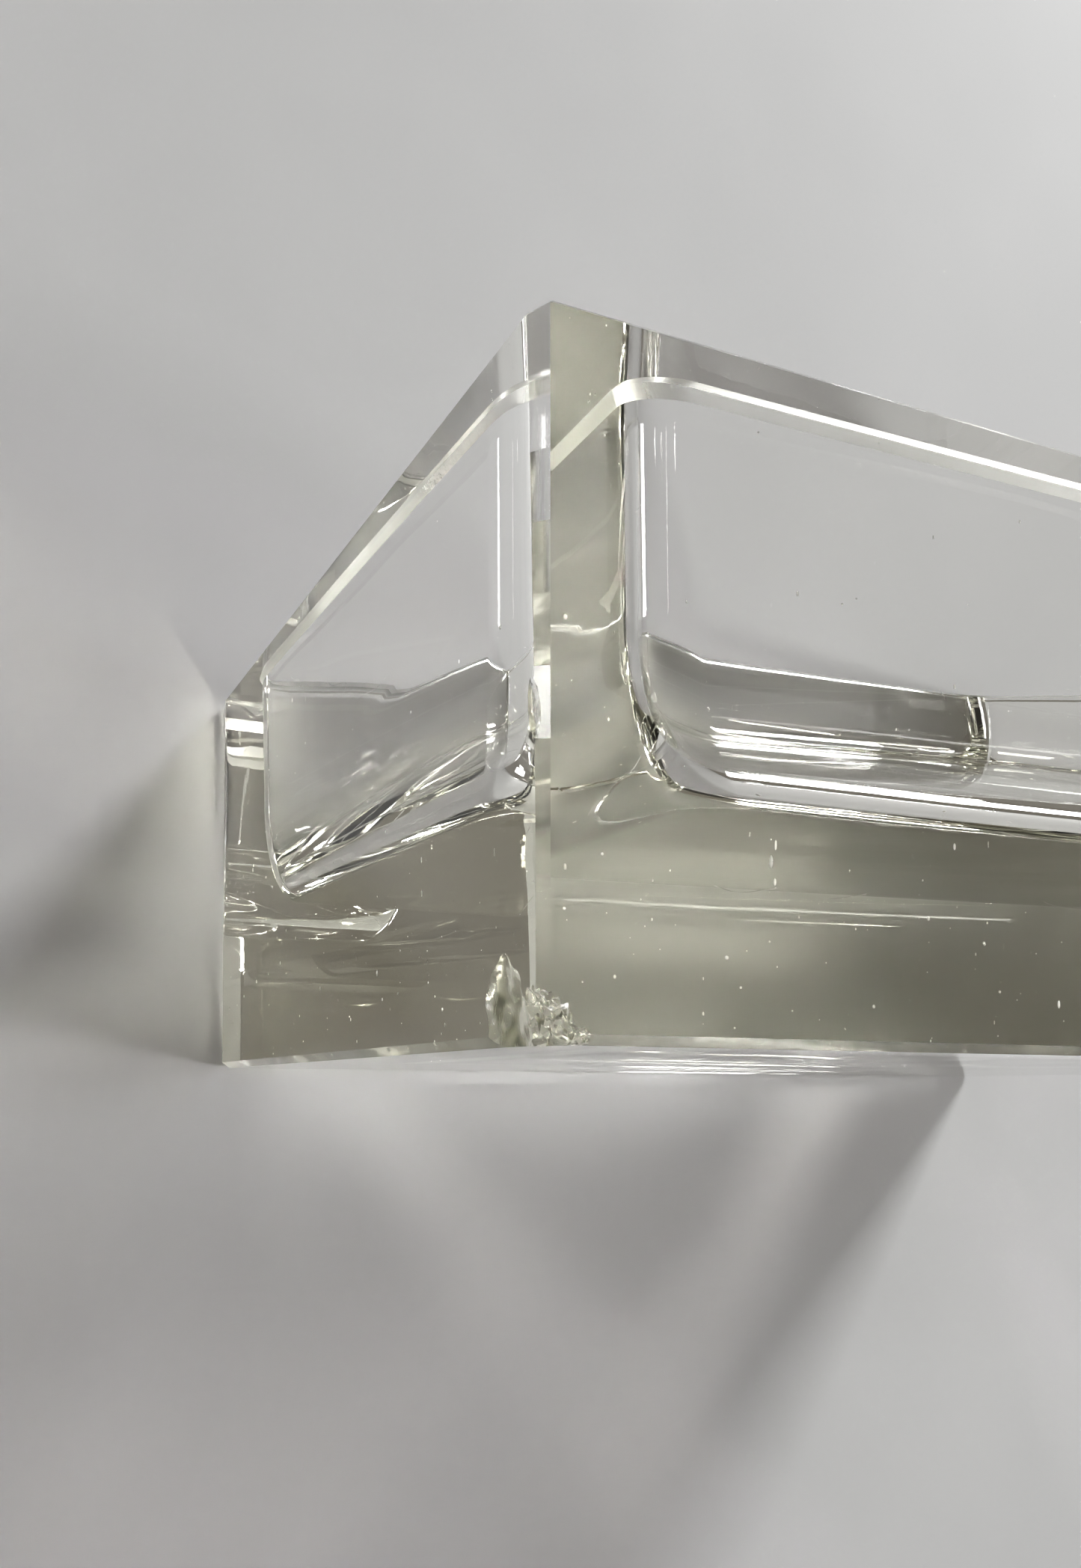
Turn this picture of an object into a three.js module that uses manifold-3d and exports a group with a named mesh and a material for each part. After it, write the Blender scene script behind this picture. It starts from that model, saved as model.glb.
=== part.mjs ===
// A heavy clear block vessel, moulded in one piece: flat polished outer faces with narrow ground bevels,
// a cavity with round corners and a round floor edge, and a thick solid base.
//
// It stands on one of its side walls, as an open-fronted display cube does.
// Millimetres. +Z is up, the mouth opens towards -Y, the thick base faces +Y.
// The origin is the middle of the footprint, on the surface that the vessel stands on.

import * as THREE from 'three';
import { mergeVertices } from 'three/addons/utils/BufferGeometryUtils.js';
import Module from 'manifold-3d';

// Outside. The long bevels are ground wider at the mouth than at the base.
const WIDTH = 160;
const HEIGHT = 120;
const DEPTH = 60;
const SIDE_BEVEL_AT_MOUTH = 1.7;
const SIDE_BEVEL_AT_BASE = 0.9;
const BASE_BEVEL = 0.9;
const RIM_BEVEL = 0.4;

// Cavity. The wall at its -X end is thicker than the other three.
const WALL = 13;
const END_WALL = 23;
const BASE_THICKNESS = 24.2;
const DRAFT = 0.8;
const MOUTH_BEVEL = 1;
const CORNER_RADIUS = 6.5;
const FLOOR_RISE = 17;
const FLOOR_RUN = 10.5;

// Damage on the edge where the top wall meets the +X wall
const CHIP_LENGTH = 10;
const CHIP_WIDTH = 3.7;
const CHIP_RISE = 6.8;
const NICK_SIZE = 1.1;
const NICK_FROM_BASE = 27;

// Fineness of the round stretches
const CORNER_STEPS = 12;
const FLOOR_STEPS = 8;

const OVERSHOOT = 2;

const MOUTH_Y = -DEPTH / 2;
const BASE_Y = DEPTH / 2;
const MIDDLE_Z = HEIGHT / 2;
const CAVITY_X = (END_WALL - WALL) / 2;
const FLOOR_Y = BASE_Y - BASE_THICKNESS;

const wasm = await Module();
wasm.setup();

// An oblong outline in the X-Z plane with its corners cut by straight bevels.
function bevelledOutline(halfWidth, halfHeight, bevel) {
  const points = [];
  for (const [signX, signZ] of [[1, 1], [-1, 1], [-1, -1], [1, -1]]) {
    const alongTop = new THREE.Vector2(signX * (halfWidth - bevel), signZ * halfHeight);
    const alongSide = new THREE.Vector2(signX * halfWidth, signZ * (halfHeight - bevel));
    points.push(...(signX * signZ > 0 ? [alongSide, alongTop] : [alongTop, alongSide]));
  }
  return points;
}

// An oblong outline in the X-Z plane with round corners, about the middle of the cavity.
function roundedOutline(halfWidth, halfHeight, radius) {
  const points = [];
  for (let corner = 0; corner < 4; corner += 1) {
    const start = (corner * Math.PI) / 2;
    const signX = Math.sign(Math.cos(start + Math.PI / 4));
    const signZ = Math.sign(Math.sin(start + Math.PI / 4));
    for (let step = 0; step <= CORNER_STEPS; step += 1) {
      const angle = start + ((Math.PI / 2) * step) / CORNER_STEPS;
      const x = CAVITY_X + signX * (halfWidth - radius) + radius * Math.cos(angle);
      const z = signZ * (halfHeight - radius) + radius * Math.sin(angle);
      points.push(new THREE.Vector2(x, z));
    }
  }
  return points;
}

// A closed solid through outlines of equal point count, stacked from the mouth end to the base end.
function loft(layers) {
  const count = layers[0].outline.length;
  const positions = [];
  for (const { y, outline } of layers) {
    for (const point of outline) {
      positions.push(point.x, y, MIDDLE_Z + point.y);
    }
  }
  const indices = [];
  for (let layer = 0; layer < layers.length - 1; layer += 1) {
    for (let i = 0; i < count; i += 1) {
      const next = (i + 1) % count;
      const a = layer * count + i;
      const b = layer * count + next;
      indices.push(a, a + count, b, b, a + count, b + count);
    }
  }
  const last = (layers.length - 1) * count;
  for (let i = 1; i < count - 1; i += 1) {
    indices.push(0, i, i + 1);
    indices.push(last, last + i + 1, last + i);
  }
  const geometry = new THREE.BufferGeometry();
  geometry.setAttribute('position', new THREE.Float32BufferAttribute(positions, 3));
  geometry.setIndex(indices);
  return geometry;
}

// The outside of the block. The rim and the base edges carry their own narrow bevels.
function outerBlock() {
  const sideBevel = (y) => THREE.MathUtils.mapLinear(y, MOUTH_Y, BASE_Y, SIDE_BEVEL_AT_MOUTH, SIDE_BEVEL_AT_BASE);
  const layer = (y, inset) => ({
    y,
    outline: bevelledOutline(WIDTH / 2 - inset, HEIGHT / 2 - inset, sideBevel(y)),
  });
  return loft([
    layer(MOUTH_Y, RIM_BEVEL),
    layer(MOUTH_Y + RIM_BEVEL, 0),
    layer(BASE_Y - BASE_BEVEL, 0),
    layer(BASE_Y, BASE_BEVEL),
  ]);
}

// The hollow: a bevelled mouth, walls that draw in a little, and a round floor edge.
function cavity() {
  const halfMouthWidth = (WIDTH - WALL - END_WALL) / 2;
  const halfMouthHeight = HEIGHT / 2 - WALL;
  const layer = (y, inset) => ({
    y,
    outline: roundedOutline(halfMouthWidth - inset, halfMouthHeight - inset, CORNER_RADIUS),
  });
  const layers = [
    layer(MOUTH_Y - OVERSHOOT, -MOUTH_BEVEL - OVERSHOOT),
    layer(MOUTH_Y + MOUTH_BEVEL, 0),
  ];
  for (let step = 0; step <= FLOOR_STEPS; step += 1) {
    const angle = ((Math.PI / 2) * step) / FLOOR_STEPS;
    const y = FLOOR_Y - FLOOR_RISE * (1 - Math.sin(angle));
    const inset = DRAFT + FLOOR_RUN * (1 - Math.cos(angle));
    layers.push(layer(y, inset));
  }
  return loft(layers);
}

// A smooth scoop out of an edge, as a knock leaves in glass.
function scoop(sizeX, sizeY, sizeZ, centre) {
  const geometry = new THREE.SphereGeometry(1, 20, 12);
  geometry.scale(sizeX, sizeY, sizeZ);
  geometry.translate(centre.x, centre.y, centre.z);
  return geometry;
}

function toManifold(geometry) {
  geometry.deleteAttribute('normal');
  geometry.deleteAttribute('uv');
  const merged = mergeVertices(geometry, 1e-4);
  const mesh = new wasm.Mesh({
    numProp: 3,
    vertProperties: new Float32Array(merged.attributes.position.array),
    triVerts: new Uint32Array(merged.index.array),
  });
  mesh.merge();
  return new wasm.Manifold(mesh);
}

function toGeometry(manifold) {
  const mesh = manifold.getMesh();
  const geometry = new THREE.BufferGeometry();
  geometry.setAttribute('position', new THREE.BufferAttribute(mesh.vertProperties, 3));
  geometry.setIndex(new THREE.BufferAttribute(mesh.triVerts, 1));
  geometry.computeVertexNormals();
  return geometry;
}

function vesselGeometry() {
  const damagedEdge = new THREE.Vector3(WIDTH / 2, BASE_Y, HEIGHT);
  const nickCentre = new THREE.Vector3(WIDTH / 2, BASE_Y - NICK_FROM_BASE, HEIGHT - SIDE_BEVEL_AT_BASE);
  const cuts = [
    cavity(),
    scoop(CHIP_WIDTH, CHIP_RISE, CHIP_LENGTH, damagedEdge),
    scoop(NICK_SIZE, NICK_SIZE, NICK_SIZE, nickCentre),
  ];
  return toGeometry(cuts.map(toManifold).reduce((block, cut) => block.subtract(cut), toManifold(outerBlock())));
}

function clearGlass() {
  return new THREE.MeshStandardMaterial({
    color: 0xc6c8b4,
    roughness: 0.05,
    metalness: 0,
    transparent: true,
    opacity: 0.35,
  });
}

const vessel = new THREE.Mesh(vesselGeometry(), clearGlass());
vessel.name = 'block_vessel';

const displayCube = new THREE.Group();
displayCube.add(vessel);

export default displayCube;
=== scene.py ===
# A heavy clear block vessel in cast glass, standing on one of its side walls.
# The mouth opens towards -Y and the thick base faces +Y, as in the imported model.

import math
import random

import bmesh
import bpy
from mathutils import Matrix, Vector, noise


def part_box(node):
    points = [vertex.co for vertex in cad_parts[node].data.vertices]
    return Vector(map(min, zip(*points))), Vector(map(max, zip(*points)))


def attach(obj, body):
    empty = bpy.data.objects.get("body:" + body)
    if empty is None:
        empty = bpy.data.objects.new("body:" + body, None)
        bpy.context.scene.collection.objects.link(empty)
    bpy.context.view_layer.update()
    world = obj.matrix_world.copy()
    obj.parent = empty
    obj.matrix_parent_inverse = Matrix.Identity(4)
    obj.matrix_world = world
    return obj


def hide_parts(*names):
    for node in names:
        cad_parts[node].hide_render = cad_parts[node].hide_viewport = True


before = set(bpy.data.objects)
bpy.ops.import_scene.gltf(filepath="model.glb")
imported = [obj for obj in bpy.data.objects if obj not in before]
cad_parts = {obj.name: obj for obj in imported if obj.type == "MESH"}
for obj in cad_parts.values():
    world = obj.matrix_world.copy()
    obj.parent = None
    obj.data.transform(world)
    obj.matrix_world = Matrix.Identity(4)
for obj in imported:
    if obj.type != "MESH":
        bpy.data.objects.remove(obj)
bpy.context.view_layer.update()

MM = 0.001

# ---------------------------------------------------------------- the frame

CAD_NODE = "block_vessel"
LOW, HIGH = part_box(CAD_NODE)
HALF_X = (HIGH.x - LOW.x) / 2
HALF_Z = (HIGH.z - LOW.z) / 2
MOUTH_Y = LOW.y
BASE_Y = HIGH.y
MIDDLE_X = (HIGH.x + LOW.x) / 2
MIDDLE_Z = (HIGH.z + LOW.z) / 2

# ---------------------------------------------------------------- sizes

WALL = 13.0 * MM
END_WALL = 23.0 * MM
BASE_THICKNESS = 24.2 * MM
MOUTH_BEVEL = 1.0 * MM
CORNER_RADIUS = 6.5 * MM
FLOOR_RISE = 17.0 * MM
FLOOR_RUN = 10.5 * MM
DRAFT = 0.8 * MM
RIM_BEVEL = 0.4 * MM
BASE_BEVEL = 0.9 * MM

# The long bevels, by the signs of their edge's X and Z from the block's middle, in turn round the block.
# Each cuts so far into the top or bottom face and so far into the side face, at the mouth and at the base.
# The one between the top wall and the +X wall was ground askew.
BEVELS = {
    (1, 1): ((1.0 * MM, 2.3 * MM), (1.2 * MM, 0.15 * MM)),
    (-1, 1): ((1.4 * MM, 1.2 * MM), (1.1 * MM, 1.3 * MM)),
    (-1, -1): ((1.2 * MM, 1.3 * MM), (1.4 * MM, 1.0 * MM)),
    (1, -1): ((1.3 * MM, 1.1 * MM), (1.0 * MM, 1.2 * MM)),
}

# The cut into the side face changes along the block by this power of the distance from the base.
SIDE_CUT_POWER = 1.8

# The hollow sits off the block's middle, because the wall at the -X end is thicker.
HOLLOW_HALF_X = HALF_X - (WALL + END_WALL) / 2
HOLLOW_HALF_Z = HALF_Z - WALL
HOLLOW_X = MIDDLE_X + (END_WALL - WALL) / 2
FLOOR_Y = BASE_Y - BASE_THICKNESS
BEND_Y = FLOOR_Y - FLOOR_RISE

# The slow unevenness of the hollow's skin, and its noise's scale to the metre across and along the hollow
WAVE_DEPTH = 0.12 * MM
WAVE_SCALE_ACROSS = 45
WAVE_SCALE_ALONG = 18


# ---------------------------------------------------------------- node helpers

def new_material(name):
    """A material, with its node tree and its Principled shader."""
    material = bpy.data.materials.new(name)
    material.use_nodes = True
    tree = material.node_tree
    return material, tree, tree.nodes["Principled BSDF"]


def add_node(tree, kind, label, **values):
    node = tree.nodes.new(kind)
    node.label = label
    for name, value in values.items():
        if name in node.inputs:
            node.inputs[name].default_value = value
        else:
            setattr(node, name, value)
    return node


def object_coordinates(tree, scale):
    """Object-space position times a scale for each axis."""
    coordinates = add_node(tree, "ShaderNodeTexCoord", "position")
    mapping = add_node(tree, "ShaderNodeMapping", "stretch")
    mapping.inputs["Scale"].default_value = scale
    tree.links.new(coordinates.outputs["Object"], mapping.inputs["Vector"])
    return mapping.outputs["Vector"]


def noise_height(tree, label, scale, detail=3.0, roughness=0.5):
    texture = add_node(tree, "ShaderNodeTexNoise", label, Scale=1.0, Detail=detail, Roughness=roughness)
    tree.links.new(object_coordinates(tree, scale), texture.inputs["Vector"])
    return texture.outputs["Fac"]


def calculate(tree, operation, first, second):
    """A sum, product or the like of two values, each a socket or a number."""
    node = tree.nodes.new("ShaderNodeMath")
    node.operation = operation
    for socket, value in zip(node.inputs, (first, second)):
        if isinstance(value, (int, float)):
            socket.default_value = value
        else:
            tree.links.new(value, socket)
    return node.outputs["Value"]


def noise_relief(tree, label, scale, depth, **settings):
    """A noise as a height in metres, from 0 to its depth."""
    return calculate(tree, "MULTIPLY", noise_height(tree, label, scale, **settings), depth)


def scratches(tree, scale, width):
    """Thin wandering lines: the ridges of a stretched noise."""
    ridge = noise_height(tree, "scratch paths", scale, detail=1.0)
    off_ridge = calculate(tree, "ABSOLUTE", calculate(tree, "SUBTRACT", ridge, 0.5), 0.0)
    line = add_node(tree, "ShaderNodeMapRange", "scratch")
    line.inputs["From Max"].default_value = width
    line.inputs["To Min"].default_value = 1.0
    line.inputs["To Max"].default_value = 0.0
    tree.links.new(off_ridge, line.inputs["Value"])
    return line.outputs["Result"]


def apply_relief(tree, shader, height):
    """Tilts the surface by a height in metres."""
    relief = add_node(tree, "ShaderNodeBump", "relief", Distance=1.0, Strength=1.0)
    tree.links.new(height, relief.inputs["Height"])
    tree.links.new(relief.outputs["Normal"], shader.inputs["Normal"])


# ---------------------------------------------------------------- glass

GLASS_IOR = 1.51
TINT = (0.954, 0.950, 0.874, 1.0)
TINT_DENSITY = 10.0


def polished_relief(tree):
    """The flat outer faces: nearly true, with hairline wear."""
    swell = noise_relief(tree, "slow swell", (28, 28, 28), 0.012 * MM, detail=1.0)
    wear = calculate(tree, "MULTIPLY", scratches(tree, (60, 140, 60), width=0.002), 0.0006 * MM)
    return calculate(tree, "SUBTRACT", swell, wear)


def ground_relief(tree):
    """The narrow bevels: grinding marks along the edge."""
    return noise_relief(tree, "grinding marks", (900, 60, 900), 0.016 * MM, detail=4.0, roughness=0.6)


def moulded_relief(tree):
    """The hollow's skin: the drawn-out ripples and fine striae that pressing leaves."""
    ripples = noise_relief(tree, "pressing ripples", (60, 12, 60), 0.05 * MM, detail=2.0)
    striae = noise_relief(tree, "fine striae", (420, 24, 420), 0.003 * MM, detail=2.0)
    return calculate(tree, "ADD", ripples, striae)


def mouth_relief(tree):
    """The small bevel round the mouth: a fine satin."""
    return noise_relief(tree, "satin grain", (700, 700, 700), 0.012 * MM)


def fracture_relief(tree):
    """Where glass broke away: the fine hackle of a shell-shaped break."""
    return noise_relief(tree, "hackle", (1100, 260, 700), 0.08 * MM, detail=5.0, roughness=0.65)


# What each stretch of the vessel's skin is, in the order of the material indices used while it is cut.
# A finish that isn't under ROUGHNESS is quite clear.
RELIEFS = {
    "polished": polished_relief,
    "ground": ground_relief,
    "moulded": moulded_relief,
    "mouth": mouth_relief,
    "fracture": fracture_relief,
}
ROUGHNESS = {"ground": 0.12, "mouth": 0.38, "fracture": 0.18}
FINISHES = tuple(RELIEFS)
POLISHED, GROUND, MOULDED, MOUTH, FRACTURE = range(len(FINISHES))


def finish_share(tree, finish):
    """1 on the faces with this finish and 0 elsewhere."""
    return add_node(tree, "ShaderNodeAttribute", finish, attribute_name=finish).outputs["Fac"]


def by_finish(tree, share, amounts):
    """On each face the amount that its finish has, or 0 where none is given."""
    parts = [calculate(tree, "MULTIPLY", share[finish], amount) for finish, amount in amounts.items()]
    result = parts[0]
    for part in parts[1:]:
        result = calculate(tree, "ADD", result, part)
    return result


def clear_glass():
    """Clear glass with the faint olive tint that only its thick sections show.

    One material holds every finish, because light leaves the tinted volume by the shader it came in by.
    """
    material, tree, shader = new_material("clear_glass")
    shader.inputs["Base Color"].default_value = (1.0, 1.0, 1.0, 1.0)
    shader.inputs["Transmission Weight"].default_value = 1.0
    shader.inputs["IOR"].default_value = GLASS_IOR
    share = {finish: finish_share(tree, finish) for finish in FINISHES}
    reliefs = {finish: relief(tree) for finish, relief in RELIEFS.items()}
    apply_relief(tree, shader, by_finish(tree, share, reliefs))
    tree.links.new(by_finish(tree, share, ROUGHNESS), shader.inputs["Roughness"])
    volume = add_node(tree, "ShaderNodeVolumeAbsorption", "olive tint", Color=TINT, Density=TINT_DENSITY)
    tree.links.new(volume.outputs[0], tree.nodes["Material Output"].inputs["Volume"])
    return material


def seed_glint_skin():
    """The skin of the small gas bubbles in the glass: a milky white that is a painted glint, standing in for
    the light a bubble's surface reflects.
    """
    material, tree, shader = new_material("seed_skin_painted_glint")
    # Near-white base colour: a painted glint for the bubbles, not a colour they have.
    shader.inputs["Base Color"].default_value = (0.96, 0.96, 0.95, 1.0)
    shader.inputs["Transmission Weight"].default_value = 0.3
    shader.inputs["IOR"].default_value = GLASS_IOR
    shader.inputs["Roughness"].default_value = 0.3
    apply_relief(tree, shader, noise_relief(tree, "bubble pits", (4000, 4000, 4000), 0.006 * MM, detail=2.0))
    return material


# ---------------------------------------------------------------- solids

def add_to_scene(name, data):
    """A new object in the scene, from a mesh, a light or a camera."""
    obj = bpy.data.objects.new(name, data)
    bpy.context.scene.collection.objects.link(obj)
    return obj


def solid_object(name, mesh, face_finishes):
    """A mesh object whose material indices hold each face's finish, until keep_finishes() stores it."""
    for _ in FINISHES:
        mesh.materials.append(GLASS)
    mesh.polygons.foreach_set("material_index", face_finishes)
    return add_to_scene(name, mesh)


def turn_faces_outwards(mesh):
    work = bmesh.new()
    work.from_mesh(mesh)
    bmesh.ops.recalc_face_normals(work, faces=work.faces)
    work.to_mesh(mesh)
    work.free()


def loft(name, rings, side_finish, cap_finishes):
    """A closed solid through rings of equal point count. side_finish(layer, side) gives a side's finish."""
    count = len(rings[0])
    vertices = [point for ring in rings for point in ring]
    faces, finishes = [], []
    for layer in range(len(rings) - 1):
        for side in range(count):
            after = (side + 1) % count
            a, b = layer * count + side, layer * count + after
            faces.append((a, b, b + count, a + count))
            finishes.append(side_finish(layer, side))
    last = (len(rings) - 1) * count
    faces.append(tuple(range(count - 1, -1, -1)))
    faces.append(tuple(last + i for i in range(count)))
    finishes.extend(cap_finishes)
    mesh = bpy.data.meshes.new(name)
    mesh.from_pydata(vertices, [], faces)
    obj = solid_object(name, mesh, finishes)
    turn_faces_outwards(mesh)
    return obj


def mix(a, b, share):
    return a + (b - a) * share


# ---------------------------------------------------------------- the block

BLOCK_STEPS = 10


def block_ring(y, inset):
    """The eight-sided outline of the block at depth y, in from its faces by inset."""
    share = (y - MOUTH_Y) / (BASE_Y - MOUTH_Y)
    reach_x, reach_z = HALF_X - inset, HALF_Z - inset
    points = []
    for (sign_x, sign_z), (at_mouth, at_base) in BEVELS.items():
        cut_x = mix(at_mouth[0], at_base[0], share)
        cut_z = mix(at_base[1], at_mouth[1], (1 - share) ** SIDE_CUT_POWER)
        on_side = (MIDDLE_X + sign_x * reach_x, y, MIDDLE_Z + sign_z * (reach_z - cut_z))
        on_flat = (MIDDLE_X + sign_x * (reach_x - cut_x), y, MIDDLE_Z + sign_z * reach_z)
        points += [on_side, on_flat] if sign_x * sign_z > 0 else [on_flat, on_side]
    return points


def make_block():
    start, end = MOUTH_Y + RIM_BEVEL, BASE_Y - BASE_BEVEL
    layers = [(MOUTH_Y, RIM_BEVEL), (start, 0.0)]
    for step in range(1, BLOCK_STEPS):
        layers.append((mix(start, end, step / BLOCK_STEPS), 0.0))
    layers += [(end, 0.0), (BASE_Y, BASE_BEVEL)]
    rings = [block_ring(y, inset) for y, inset in layers]

    def side_finish(layer, side):
        at_an_end = layer in (0, len(rings) - 2)
        on_long_bevel = side % 2 == 0
        return GROUND if at_an_end or on_long_bevel else POLISHED

    return loft("block", rings, side_finish, (POLISHED, POLISHED))


# ---------------------------------------------------------------- the hollow

CORNER_POINTS = 22
STRAIGHT_POINTS = 26
WALL_STEPS = 24
BEND_STEPS = 24
FLOOR_STEPS = 16

# How far past the mouth the cutter reaches
OVERSHOOT = 2 * MM

# A corner's radius is at most this share of the outline's half width, so that some straight side is left.
ROUNDEST = 0.98

# The waves grow from none at the mouth to their full depth at 1 / WAVE_GROWTH of the way down the walls.
WAVE_GROWTH = 6

# The floor's rings go this share of the way to its middle line, where opposite sides would touch.
FLOOR_REACH = 0.97


def hollow_outline(inset):
    """A rounded oblong in the X-Z plane, as points and outward directions."""
    half_x = HOLLOW_HALF_X - inset
    half_z = HOLLOW_HALF_Z - inset
    radius = min(CORNER_RADIUS, half_x * ROUNDEST, half_z * ROUNDEST)
    centres = [Vector((sign_x * (half_x - radius), sign_z * (half_z - radius))) for sign_x, sign_z in BEVELS]
    points = []
    for corner, centre in enumerate(centres):
        for step in range(CORNER_POINTS + 1):
            angle = math.pi / 2 * (corner + step / CORNER_POINTS)
            direction = Vector((math.cos(angle), math.sin(angle)))
            points.append((centre + radius * direction, direction))
        next_centre = centres[(corner + 1) % len(centres)]
        for step in range(1, STRAIGHT_POINTS):
            place = centre.lerp(next_centre, step / STRAIGHT_POINTS)
            points.append((place + radius * direction, direction))
    return points


def wall_wave(x, y, z):
    place = Vector((x * WAVE_SCALE_ACROSS, y * WAVE_SCALE_ALONG, z * WAVE_SCALE_ACROSS))
    return WAVE_DEPTH * noise.noise(place)


def hollow_ring(y, inset, wave_share):
    ring = []
    for point, direction in hollow_outline(inset):
        x, z = point.x, point.y
        push = wave_share * wall_wave(x, y, z)
        ring.append((HOLLOW_X + x + direction.x * push, y, MIDDLE_Z + z + direction.y * push))
    return ring


def wall_rings():
    """Between the mouth bevel and the floor edge, drawing in by the draft."""
    rings = []
    for step in range(1, WALL_STEPS):
        share = step / WALL_STEPS
        y = mix(MOUTH_Y + MOUTH_BEVEL, BEND_Y, share)
        rings.append(hollow_ring(y, DRAFT * share, min(1.0, share * WAVE_GROWTH)))
    return rings


def bend_rings():
    """The round floor edge: a quarter of an ellipse."""
    rings = []
    for step in range(BEND_STEPS + 1):
        angle = math.pi / 2 * step / BEND_STEPS
        y = BEND_Y + FLOOR_RISE * math.sin(angle)
        rings.append(hollow_ring(y, DRAFT + FLOOR_RUN * (1 - math.cos(angle)), 1.0))
    return rings


def floor_rings():
    """The hollow's floor, which waves in and out along Y instead of sideways."""
    floor_inset = DRAFT + FLOOR_RUN
    floor_half = min(HOLLOW_HALF_X, HOLLOW_HALF_Z) - floor_inset
    rings = []
    for step in range(1, FLOOR_STEPS):
        share = step / FLOOR_STEPS
        ring = hollow_ring(FLOOR_Y, floor_inset + floor_half * share * FLOOR_REACH, 0.0)
        rings.append([(x, FLOOR_Y + wall_wave(x, 0.0, z), z) for x, _, z in ring])
    return rings


def make_hollow():
    """The cutter for the hollow: overshoot, mouth bevel, walls, round floor edge and floor."""
    mouth_rings = [
        hollow_ring(MOUTH_Y - OVERSHOOT, -MOUTH_BEVEL - OVERSHOOT, 0.0),
        hollow_ring(MOUTH_Y + MOUTH_BEVEL, 0.0, 0.0),
    ]
    rings = mouth_rings + wall_rings() + bend_rings() + floor_rings()

    def side_finish(layer, side):
        return MOUTH if layer == 0 else MOULDED

    return loft("hollow_cutter", rings, side_finish, (MOULDED, MOULDED))


# ---------------------------------------------------------------- damage

# How closely a broken place's shell ripples, rough skin and crumbled pits follow one another on a unit ball
RIPPLES_ALONG = 16
RIPPLES_DOWN = 3
SKIN_SCALE = 3
PIT_SCALE = 5

# Moves each chunk's noise on by its seed, so that no two chunks are alike.
SEED_SHIFT = (7.3, 3.1, 5.7)


def make_chunk(name, seed, centre, size, turn, ripple=0.0, roughness=0.1, crumble=0.0):
    """A cutter for a broken place: a drawn-out ball with shell ripples, a rough skin and crumbled pits."""
    work = bmesh.new()
    bmesh.ops.create_icosphere(work, subdivisions=5, radius=1.0)
    offset = Vector([seed * shift for shift in SEED_SHIFT])
    for vertex in work.verts:
        direction = vertex.co.normalized()
        shells = ripple * math.sin(direction.y * RIPPLES_ALONG + direction.z * RIPPLES_DOWN)
        rough = roughness * noise.noise(direction * SKIN_SCALE + offset)
        nearest_pit = noise.voronoi(direction * PIT_SCALE + offset)[0][0]
        vertex.co = direction * (1 + shells + rough - crumble * nearest_pit)
    shape = Matrix.Translation(centre) @ turn.to_4x4() @ Matrix.Diagonal((*size, 1.0))
    bmesh.ops.transform(work, matrix=shape, verts=work.verts)
    mesh = bpy.data.meshes.new(name)
    work.to_mesh(mesh)
    work.free()
    return solid_object(name, mesh, [FRACTURE] * len(mesh.polygons))


def on_damaged_edge(in_from_side, up_from_base, down_from_top):
    """A place in millimetres from the base corner of the edge between the top wall and the +X wall."""
    corner = Vector((MIDDLE_X + HALF_X, BASE_Y, HIGH.z))
    return corner + Vector((-in_from_side * MM, -up_from_base * MM, -down_from_top * MM))


def in_mm(x, y, z):
    return Vector((x, y, z)) * MM


def turned(about_x=0, about_y=0, about_z=0):
    """A rotation by angles in degrees, about X first and about Z last."""
    angles = zip((about_x, about_y, about_z), "XYZ")
    turn_x, turn_y, turn_z = (Matrix.Rotation(math.radians(angle), 3, axis) for angle, axis in angles)
    return turn_z @ turn_y @ turn_x


def damage():
    """The breaks on the edge between the top wall and the +X wall."""
    leaf_scar = make_chunk(
        "leaf_scar", 1, on_damaged_edge(-1.5, 0.6, 5.2), in_mm(2.9, 8.6, 4.8), turned(about_x=24),
        ripple=0.035, roughness=0.06,
    )
    corner_break = make_chunk(
        "corner_break", 2, on_damaged_edge(0.7, 0.1, 0.7), in_mm(3.6, 5.2, 3.8), turned(about_z=14),
        crumble=0.3,
    )
    base_flake = make_chunk(
        "base_flake", 3, on_damaged_edge(3.6, -0.3, -0.6), in_mm(2.0, 2.0, 2.2), turned(about_z=30),
        crumble=0.2,
    )
    edge_flake = make_chunk(
        "edge_flake", 4, on_damaged_edge(-0.25, 27.0, 0.9), in_mm(0.8, 2.6, 1.0), turned(about_x=10),
        ripple=0.02, roughness=0.08,
    )
    rim_nibble = make_chunk(
        "rim_nibble", 5, on_damaged_edge(0.2, 60.0, 1.9), in_mm(0.6, 0.5, 0.8), turned(),
        crumble=0.2,
    )
    return [leaf_scar, corner_break, base_flake, edge_flake, rim_nibble]


# ---------------------------------------------------------------- the vessel

# Edges that turn by more than this stay crisp.
CREASE_ANGLE = math.radians(40)


def cut_away(obj, cutters):
    for cutter in cutters:
        modifier = obj.modifiers.new(cutter.name, "BOOLEAN")
        modifier.operation = "DIFFERENCE"
        modifier.solver = "EXACT"
        modifier.object = cutter
    bpy.context.view_layer.update()
    evaluated = obj.evaluated_get(bpy.context.evaluated_depsgraph_get())
    cut_mesh = bpy.data.meshes.new_from_object(evaluated)
    obj.modifiers.clear()
    obj.data = cut_mesh
    for cutter in cutters:
        bpy.data.objects.remove(cutter)


def set_shading(mesh):
    """The cut faces stay flat, the moulded and broken ones are smooth, and edges between kinds are crisp."""
    work = bmesh.new()
    work.from_mesh(mesh)
    for face in work.faces:
        face.smooth = face.material_index in (MOULDED, FRACTURE)
    for edge in work.edges:
        kinds = {face.material_index for face in edge.link_faces}
        steep = len(edge.link_faces) == 2 and edge.calc_face_angle(0.0) > CREASE_ANGLE
        edge.smooth = len(kinds) == 1 and not steep
    work.to_mesh(mesh)
    work.free()


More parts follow.
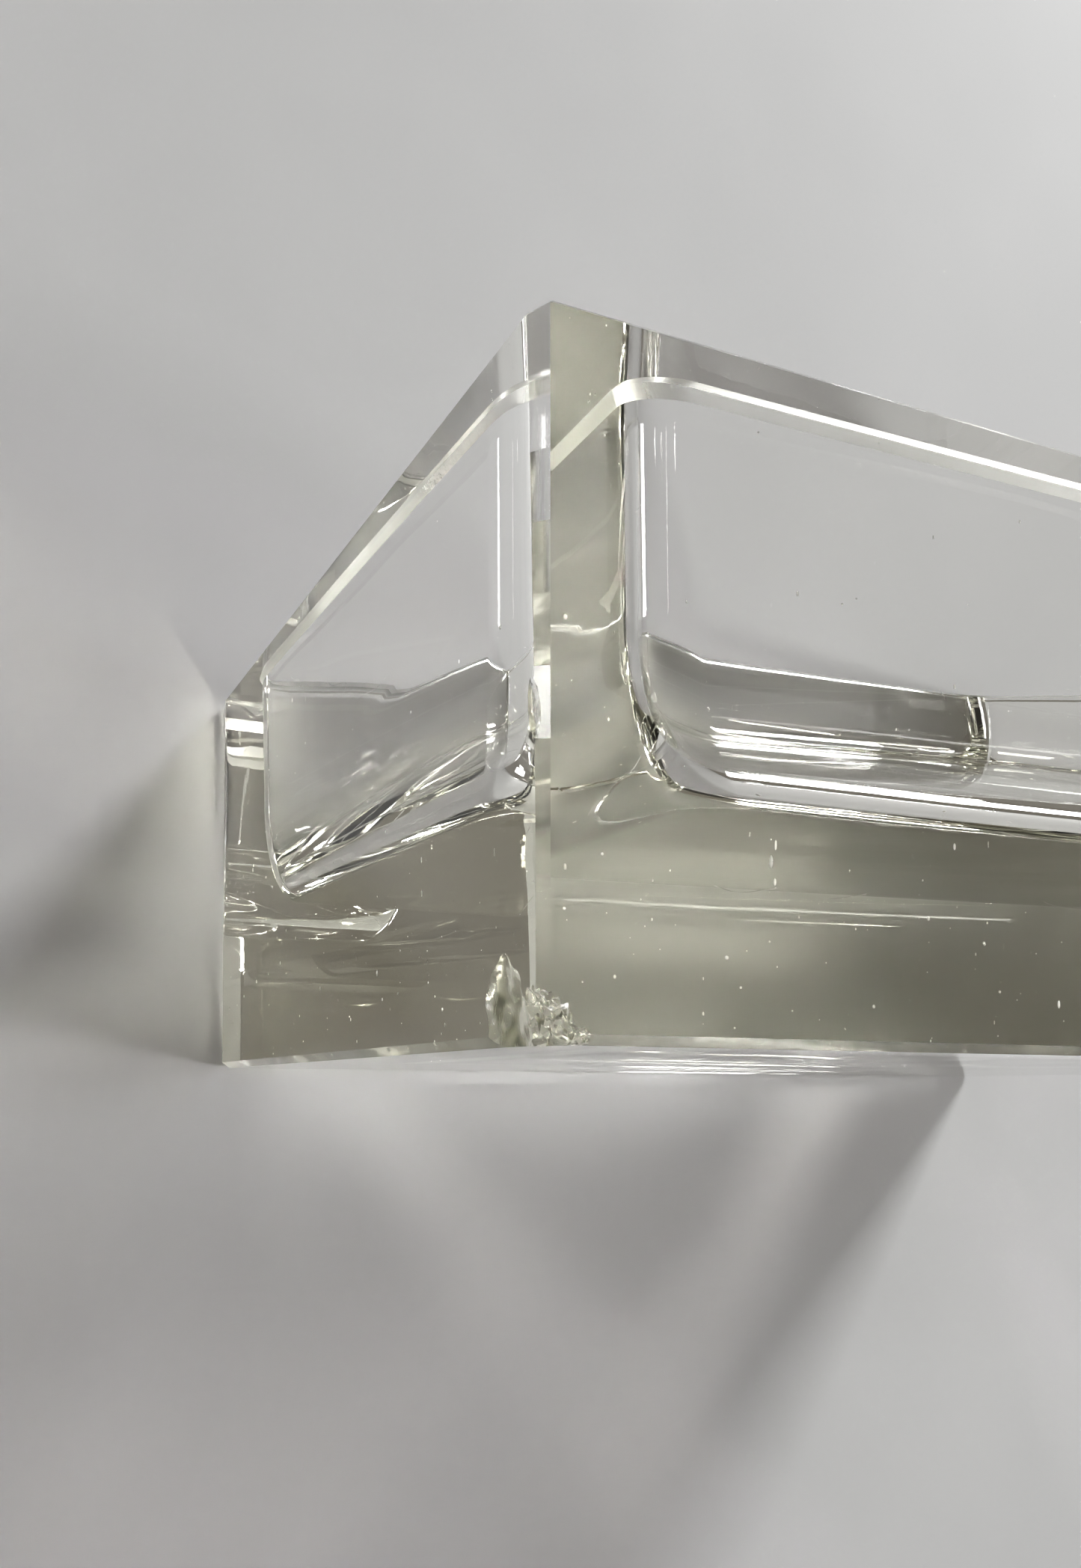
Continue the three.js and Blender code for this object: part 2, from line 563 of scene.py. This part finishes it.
def keep_finishes(mesh):
    """Stores each face's finish as an attribute of its own, and leaves the mesh with its one material."""
    kinds = [polygon.material_index for polygon in mesh.polygons]
    for index, finish in enumerate(FINISHES):
        attribute = mesh.attributes.new(finish, "FLOAT", "FACE")
        attribute.data.foreach_set("value", [float(kind == index) for kind in kinds])
    mesh.materials.clear()
    mesh.materials.append(GLASS)
    mesh.polygons.foreach_set("material_index", [0] * len(kinds))


def make_vessel():
    vessel = make_block()
    vessel.name = "glass_vessel"
    cut_away(vessel, [make_hollow(), *damage()])
    set_shading(vessel.data)
    keep_finishes(vessel.data)
    return vessel


# ---------------------------------------------------------------- seeds

SEED_COUNT = 240
SEED_MARGIN = 1.2 * MM
SEED_DRAW = 41

# A seed's least radius in millimetres, and the most that chance adds to it and to its length
SEED_LEAST_RADIUS = 0.07
SEED_RADIUS_SPREAD = 0.16
SEED_STRETCH_SPREAD = 2.4


def in_glass(place):
    """Whether a place is well inside the glass."""
    depth_from_base = BASE_Y - place.y
    if depth_from_base < BASE_THICKNESS - SEED_MARGIN:
        return True
    beyond_side = abs(place.x - HOLLOW_X) - HOLLOW_HALF_X
    beyond_flat = abs(place.z - MIDDLE_Z) - HOLLOW_HALF_Z
    return max(beyond_side, beyond_flat) > SEED_MARGIN


def place_in_block(chance):
    return Vector((
        MIDDLE_X + chance.uniform(-HALF_X + SEED_MARGIN, HALF_X - SEED_MARGIN),
        chance.uniform(MOUTH_Y + SEED_MARGIN, BASE_Y - SEED_MARGIN),
        chance.uniform(LOW.z + SEED_MARGIN, HIGH.z - SEED_MARGIN),
    ))


def make_seeds():
    """Small gas bubbles, a few of them drawn out. Their skins face inwards, as a bubble's do."""
    chance = random.Random(SEED_DRAW)
    work = bmesh.new()
    made = 0
    while made < SEED_COUNT:
        place = place_in_block(chance)
        if not in_glass(place):
            continue
        radius = (SEED_LEAST_RADIUS + SEED_RADIUS_SPREAD * chance.random() ** 3) * MM
        stretch = 1 + SEED_STRETCH_SPREAD * chance.random() ** 4
        shape = Matrix.Translation(place) @ Matrix.Diagonal((radius, radius * stretch, radius, 1.0))
        bmesh.ops.create_icosphere(work, subdivisions=2, radius=1.0, matrix=shape)
        made += 1
    for face in work.faces:
        face.smooth = True
    bmesh.ops.reverse_faces(work, faces=work.faces)
    mesh = bpy.data.meshes.new("seeds")
    work.to_mesh(mesh)
    work.free()
    # The seeds' white skin is a painted glint, standing in for the light that bubbles reflect.
    mesh.materials.append(seed_glint_skin())
    return add_to_scene("seeds", mesh)


# ---------------------------------------------------------------- studio

FLOOR_HALF = 3.0
FLOOR_GAP = 0.1 * MM
FLOOR_GREYS = (0.345, 0.455)


def pale_floor():
    material, tree, shader = new_material("pale_floor")
    shader.inputs["Roughness"].default_value = 0.7
    shader.inputs["Specular IOR Level"].default_value = 0.2
    clouds = noise_height(tree, "faint clouds", (9, 9, 9))
    ramp = add_node(tree, "ShaderNodeValToRGB", "pale greys")
    for element, grey in zip(ramp.color_ramp.elements, FLOOR_GREYS):
        element.color = (grey, grey, grey, 1)
    tree.links.new(clouds, ramp.inputs["Fac"])
    tree.links.new(ramp.outputs["Color"], shader.inputs["Base Color"])
    return material


def make_floor():
    corners = [
        (sign_x * FLOOR_HALF, sign_y * FLOOR_HALF, LOW.z - FLOOR_GAP)
        for sign_x, sign_y in ((-1, -1), (1, -1), (1, 1), (-1, 1))
    ]
    mesh = bpy.data.meshes.new("floor")
    mesh.from_pydata(corners, [], [(0, 1, 2, 3)])
    mesh.materials.append(pale_floor())
    floor = add_to_scene("floor", mesh)


def area_light(name, azimuth, elevation, distance, width, height, power, colour=(1, 1, 1)):
    """A soft rectangular light facing the middle of the vessel, at an azimuth from +X towards +Y."""
    turn, rise = math.radians(azimuth), math.radians(elevation)
    away = Vector((math.cos(rise) * math.cos(turn), math.cos(rise) * math.sin(turn), math.sin(rise)))
    lamp = bpy.data.lights.new(name, "AREA")
    lamp.shape = "RECTANGLE"
    lamp.size = width
    lamp.size_y = height
    lamp.energy = power
    lamp.color = colour
    obj = add_to_scene(name, lamp)
    obj.location = Vector((0, 0, MIDDLE_Z)) + away * distance
    obj.rotation_euler = (-away).to_track_quat("-Z", "Y").to_euler()


def make_lights():
    """Each with its azimuth and elevation in degrees, distance, width and height in metres, and watts."""
    area_light("window", 231.5, 16, 3.0, 0.7, 0.7, 175, (0.98, 0.99, 1.0))
    area_light("far_window", 167, 32, 2.5, 0.45, 0.6, 36)
    area_light("soft_front", 276, 30, 3.0, 0.5, 0.5, 4)
    area_light("low_strip_behind", 128, 10, 2.0, 0.9, 0.26, 7)
    area_light("low_strip_beside", 346, 9, 2.0, 0.4, 0.30, 10)
    area_light("high_spot_beside", 334, 46, 2.5, 0.2, 0.2, 3)


def make_world():
    world = bpy.data.worlds.new("studio")
    bpy.context.scene.world = world
    world.use_nodes = True
    background = world.node_tree.nodes["Background"]
    background.inputs["Color"].default_value = (0.95, 0.87, 0.75, 1)
    background.inputs["Strength"].default_value = 0.17


# The camera's place in millimetres from the near corner, and its rightward and backward directions,
# as the perspective of the block's edges gives them
CAMERA_FROM_CORNER = (43.7, 3.82, 92.5)
CAMERA_RIGHT = (-0.9029, -0.0032, 0.4299)
CAMERA_BACK = (0.4297, 0.0231, 0.9027)


def make_camera():
    """Looking down on the near corner, from just beyond the base plane."""
    data = bpy.data.cameras.new("camera")
    data.sensor_width = 36
    data.lens = 29.83
    data.shift_y = 0.1777
    data.clip_start = 0.005
    data.clip_end = 20
    right = Vector(CAMERA_RIGHT).normalized()
    back = Vector(CAMERA_BACK).normalized()
    up = back.cross(right).normalized()
    right = up.cross(back)
    turn = Matrix((right, up, back)).transposed()
    near_corner = Vector((HIGH.x, HIGH.y, HIGH.z))
    camera = add_to_scene("camera", data)
    camera.matrix_world = Matrix.Translation(near_corner + Vector(CAMERA_FROM_CORNER) * MM) @ turn.to_4x4()
    bpy.context.scene.camera = camera


def set_light_paths():
    scene = bpy.context.scene
    scene.view_settings.view_transform = "Standard"
    scene.cycles.max_bounces = 24
    scene.cycles.transmission_bounces = 24
    scene.cycles.glossy_bounces = 12
    scene.cycles.blur_glossy = 0.0
    scene.cycles.sample_clamp_indirect = 60.0


# ---------------------------------------------------------------- the scene

GLASS = clear_glass()

make_camera()
make_floor()
make_lights()
make_world()
set_light_paths()

vessel = make_vessel()
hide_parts(CAD_NODE)
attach(vessel, "root")

seeds = make_seeds()
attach(seeds, "root")
